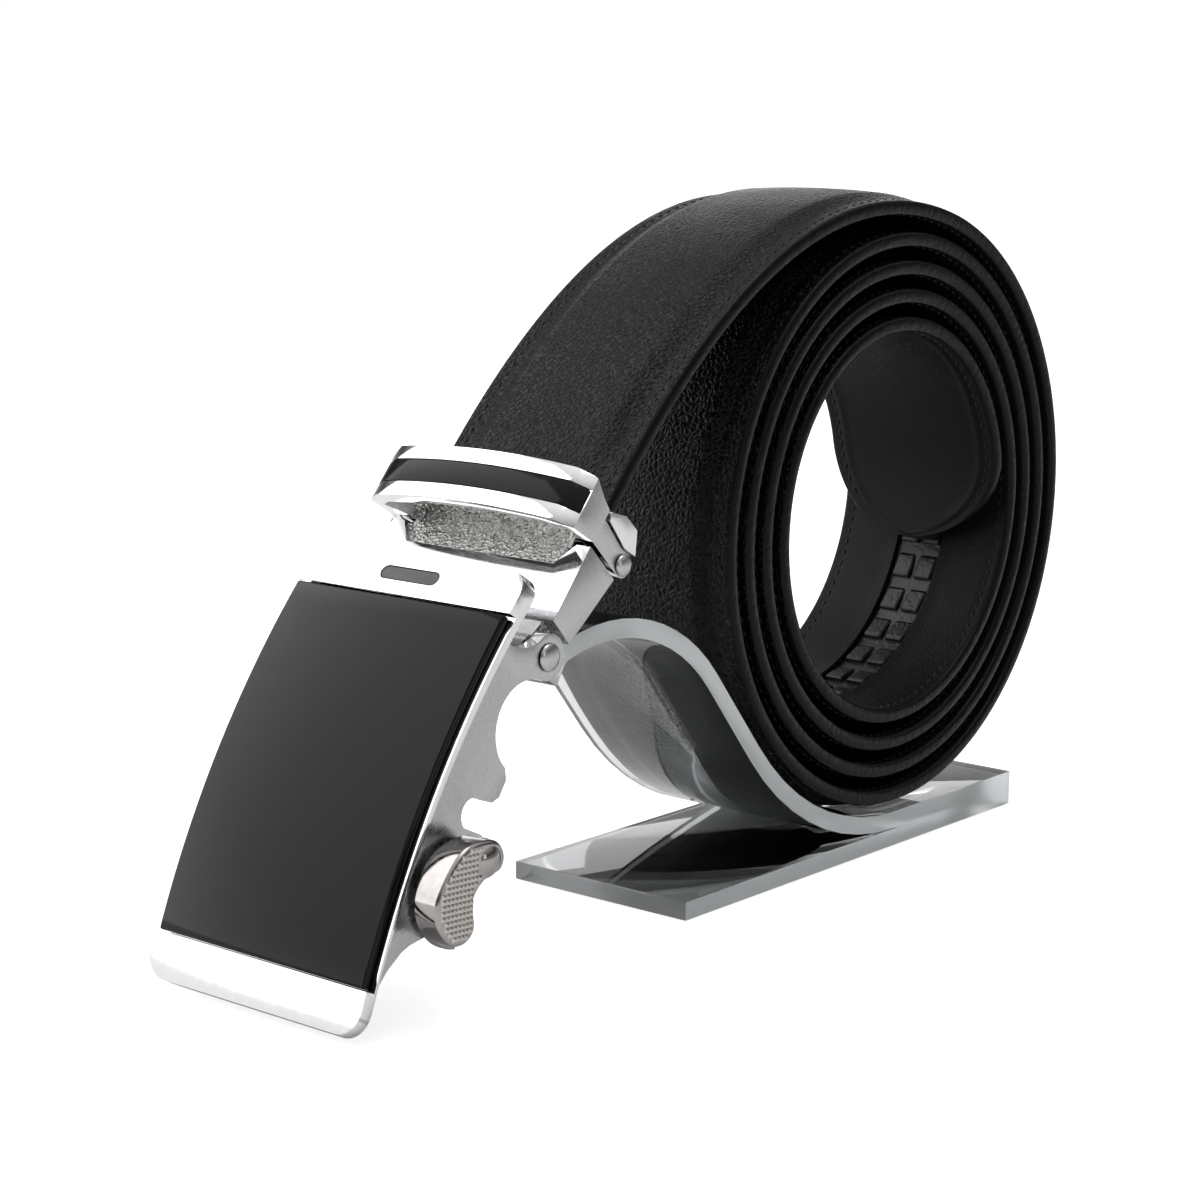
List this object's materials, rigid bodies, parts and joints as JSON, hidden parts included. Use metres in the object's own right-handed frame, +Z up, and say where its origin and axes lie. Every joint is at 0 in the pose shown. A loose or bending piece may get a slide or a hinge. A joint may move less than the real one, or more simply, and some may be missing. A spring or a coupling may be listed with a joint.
{
  "type": "ratchet belt on display stand",
  "caption": "Coiled black leather ratchet belt with a polished hinged buckle, dark glass panel and side release lever, resting on a clear bent stand.",
  "frame": {"origin": "middle of the bottom of the bounding box, on the surface that the stand rests on", "axes": "+X from the buckle towards the coil, +Y across the strap away from the release lever, +Z up"},
  "size_m": [0.1864, 0.049, 0.1109],
  "materials": {
    "clear_acrylic": "clear polished sheet with whitish cut edges",
    "black_leather": "pebbled grain, padded middle, painted edges",
    "black_track": "satin moulded",
    "polished_chrome": "mirror polish on fronts, fine cast texture in recesses",
    "satin_metal": "satin plated casting",
    "dark_chrome": "polished, knurled thumb pad",
    "black_enamel": "glossy inlay",
    "dark_glass": "near-black convex polished panel",
    "grey_inlay": "satin"
  },
  "bodies": {
    "clamp_and_strap": {"display_stand": "clear_acrylic", "strap": "black_leather", "ratchet_track": "black_track", "clamp_body": "polished_chrome", "keeper_loop": "polished_chrome", "keeper_band": "black_enamel", "door_pin": "polished_chrome"},
    "door": {"clamp_door": "satin_metal"},
    "buckle": {"buckle_frame": "polished_chrome", "glass_panel": "dark_glass", "slot_inlay": "grey_inlay", "hinge_pin": "polished_chrome"},
    "lever": {"release_lever": "dark_chrome", "latch_pawl": "satin_metal"}
  },
  "joints": [
    {"name": "buckle_hinge", "type": "hinge", "parent": "clamp_and_strap", "child": "buckle", "pos_m": [-0.05384, 0.0027, 0.0478], "axis": [0, 1, 0], "range_deg": [0, 35]},
    {"name": "lever_turn", "type": "hinge", "parent": "buckle", "child": "lever", "pos_m": [-0.07427, 0.0027, 0.01808], "axis": [0, 1, 0], "range_deg": [0, 25], "stiffness_Nm_per_rad": 0.02, "springref_deg": -17.19},
    {"name": "door_hinge", "type": "hinge", "parent": "clamp_and_strap", "child": "door", "pos_m": [-0.03674, 0.0027, 0.05869], "axis": [0, 1, 0], "range_deg": [0, 60]}
  ]
}
